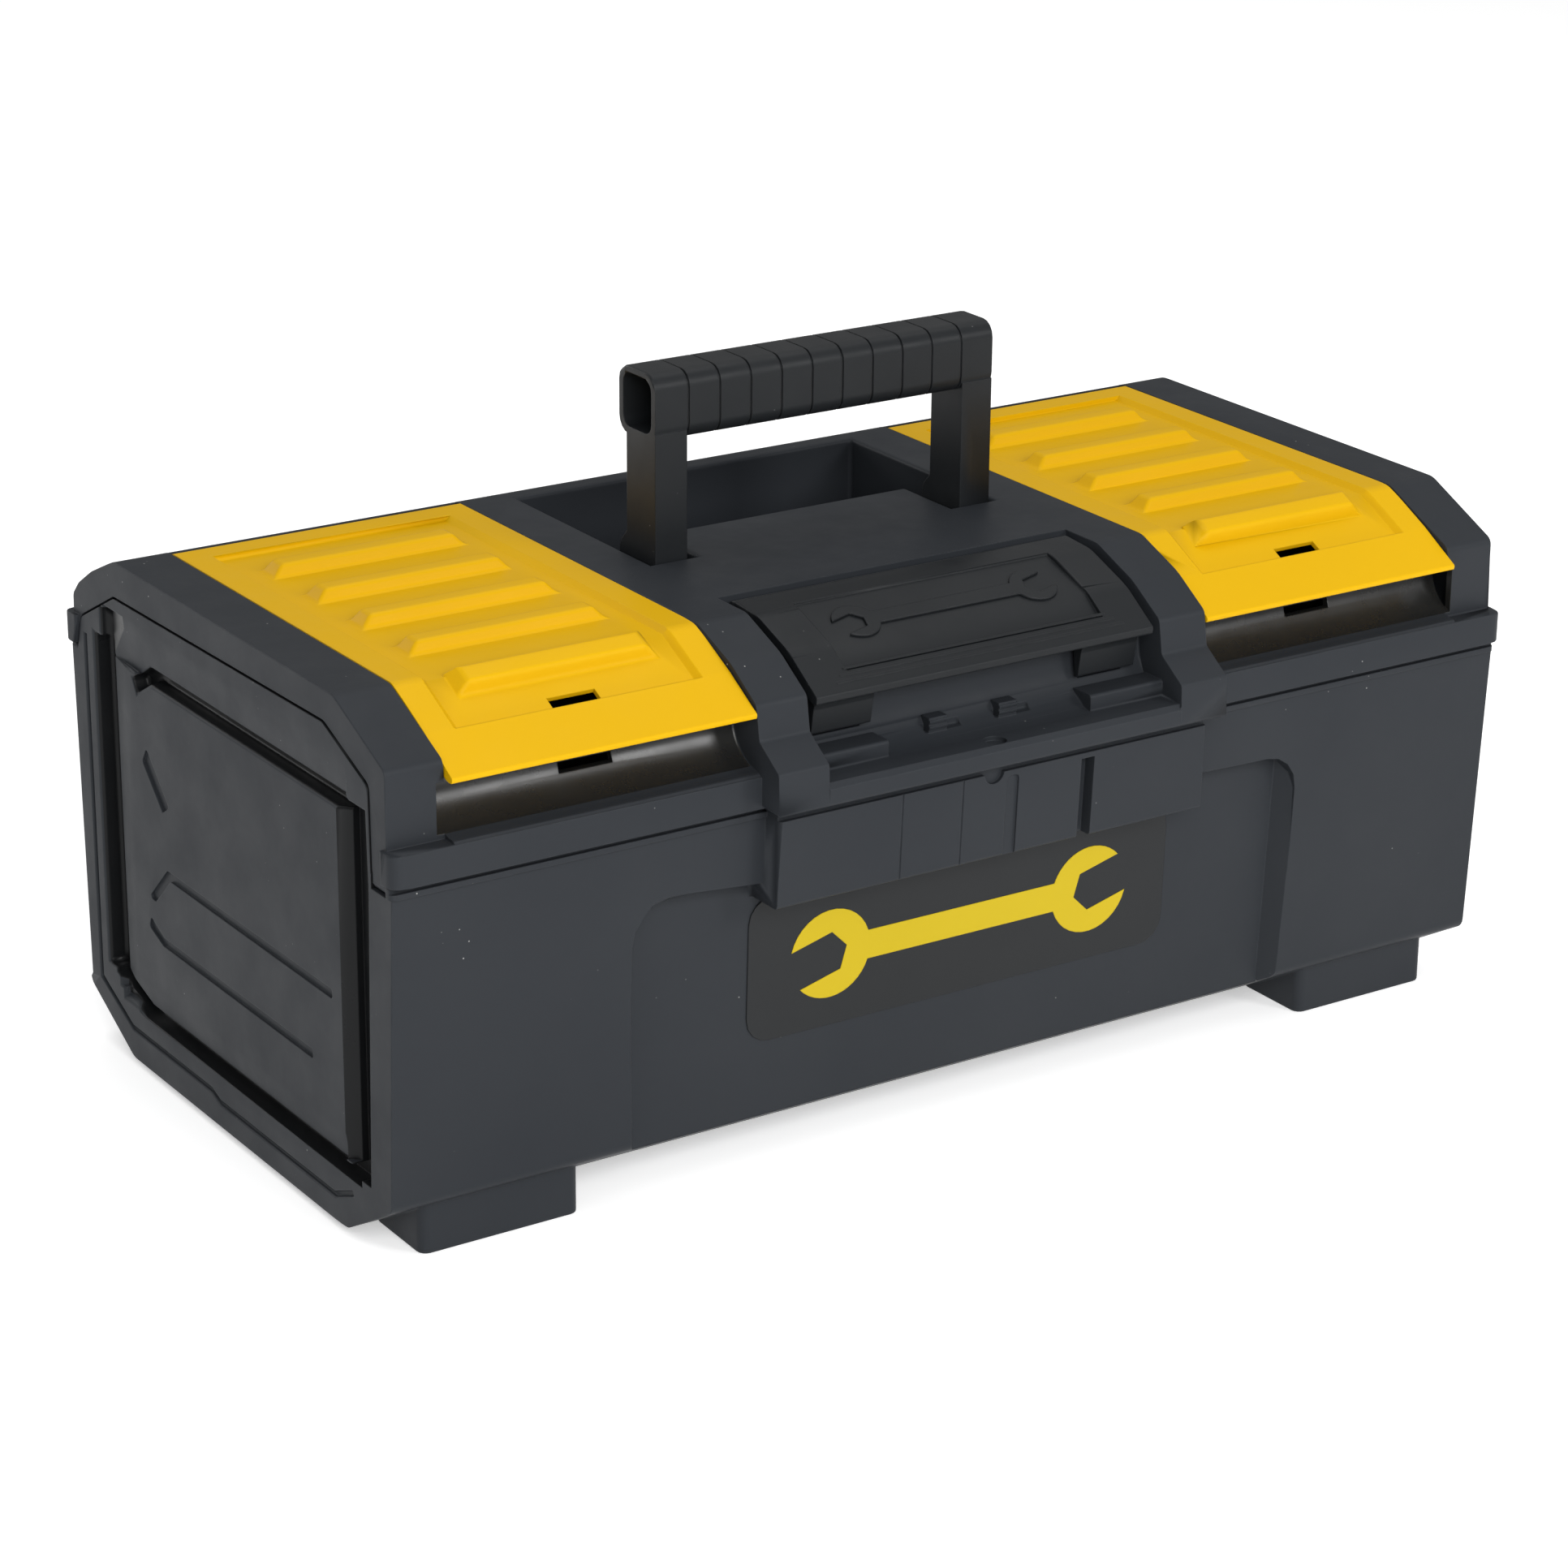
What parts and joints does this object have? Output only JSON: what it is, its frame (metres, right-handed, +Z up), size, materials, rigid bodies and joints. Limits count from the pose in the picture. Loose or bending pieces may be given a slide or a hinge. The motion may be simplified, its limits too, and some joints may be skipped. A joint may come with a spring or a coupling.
{
  "type": "toolbox with tray",
  "caption": "Moulded plastic toolbox with a hinged lid, folding carry handle, front latch, lidded organiser bays in the lid and a lift-out tray with dividers inside.",
  "frame": {"origin": "middle of the underside of the feet, where the box stands on the floor; centre of its bounding box seen from above", "axes": "+X along the length of the box to the right seen from the front, +Y to the back where the lid hinges are, +Z up"},
  "size_m": [0.394, 0.22, 0.2192],
  "materials": {
    "tub_plastic": "fine-grained slate black, slight sheen",
    "lid_plastic": "fine-grained slate black, slight sheen",
    "black_plastic": "satin near-black",
    "yellow_plastic": "satin warm yellow",
    "label_film": "thin printed film, satin",
    "pin_steel": "bright drawn wire",
    "tray_plastic": "fine-grained dark grey",
    "divider_plastic": "smooth dark grey"
  },
  "bodies": {
    "tub": {"tub": "tub_plastic", "front_label": "label_film", "rear_hinge_pin_left": "pin_steel", "rear_hinge_pin_right": "pin_steel"},
    "main_lid": {"main_lid": "lid_plastic", "organizer_pin_left": "pin_steel", "organizer_pin_right": "pin_steel", "handle_pin_left": "pin_steel", "handle_pin_right": "pin_steel", "latch_pin_left": "pin_steel", "latch_pin_right": "pin_steel", "left_divider_front": "divider_plastic", "left_divider_rear": "divider_plastic", "right_divider_front": "divider_plastic", "right_divider_rear": "divider_plastic"},
    "organizer_lid_left": {"organizer_lid_left": "yellow_plastic"},
    "organizer_lid_right": {"organizer_lid_right": "yellow_plastic"},
    "handle": {"handle": "black_plastic"},
    "latch": {"latch": "black_plastic"},
    "tray": {"tray": "tray_plastic", "tray_divider_left": "divider_plastic", "tray_divider_right": "divider_plastic"}
  },
  "joints": [
    {"name": "main_lid_hinge", "type": "hinge", "parent": "tub", "child": "main_lid", "pos_m": [0, 0.1055, 0.1295], "axis": [-1, 0, 0], "range_deg": [0, 100]},
    {"name": "organizer_left_hinge", "type": "hinge", "parent": "main_lid", "child": "organizer_lid_left", "pos_m": [-0.1288, 0.069, 0.1593], "axis": [-1, 0, 0], "range_deg": [0, 100]},
    {"name": "organizer_right_hinge", "type": "hinge", "parent": "main_lid", "child": "organizer_lid_right", "pos_m": [0.1288, 0.069, 0.1593], "axis": [-1, 0, 0], "range_deg": [0, 100]},
    {"name": "handle_fold", "type": "hinge", "parent": "main_lid", "child": "handle", "pos_m": [0, -0.0032, 0.1522], "axis": [-1, 0, 0], "range_deg": [0, 90]},
    {"name": "latch_pivot", "type": "hinge", "parent": "main_lid", "child": "latch", "pos_m": [0, -0.0553, 0.158], "axis": [-1, 0, 0], "range_deg": [0, 35]},
    {"name": "tray_lift", "type": "slide", "parent": "tub", "child": "tray", "axis": [0, 0, 1], "range_m": [0, 0.007]}
  ]
}
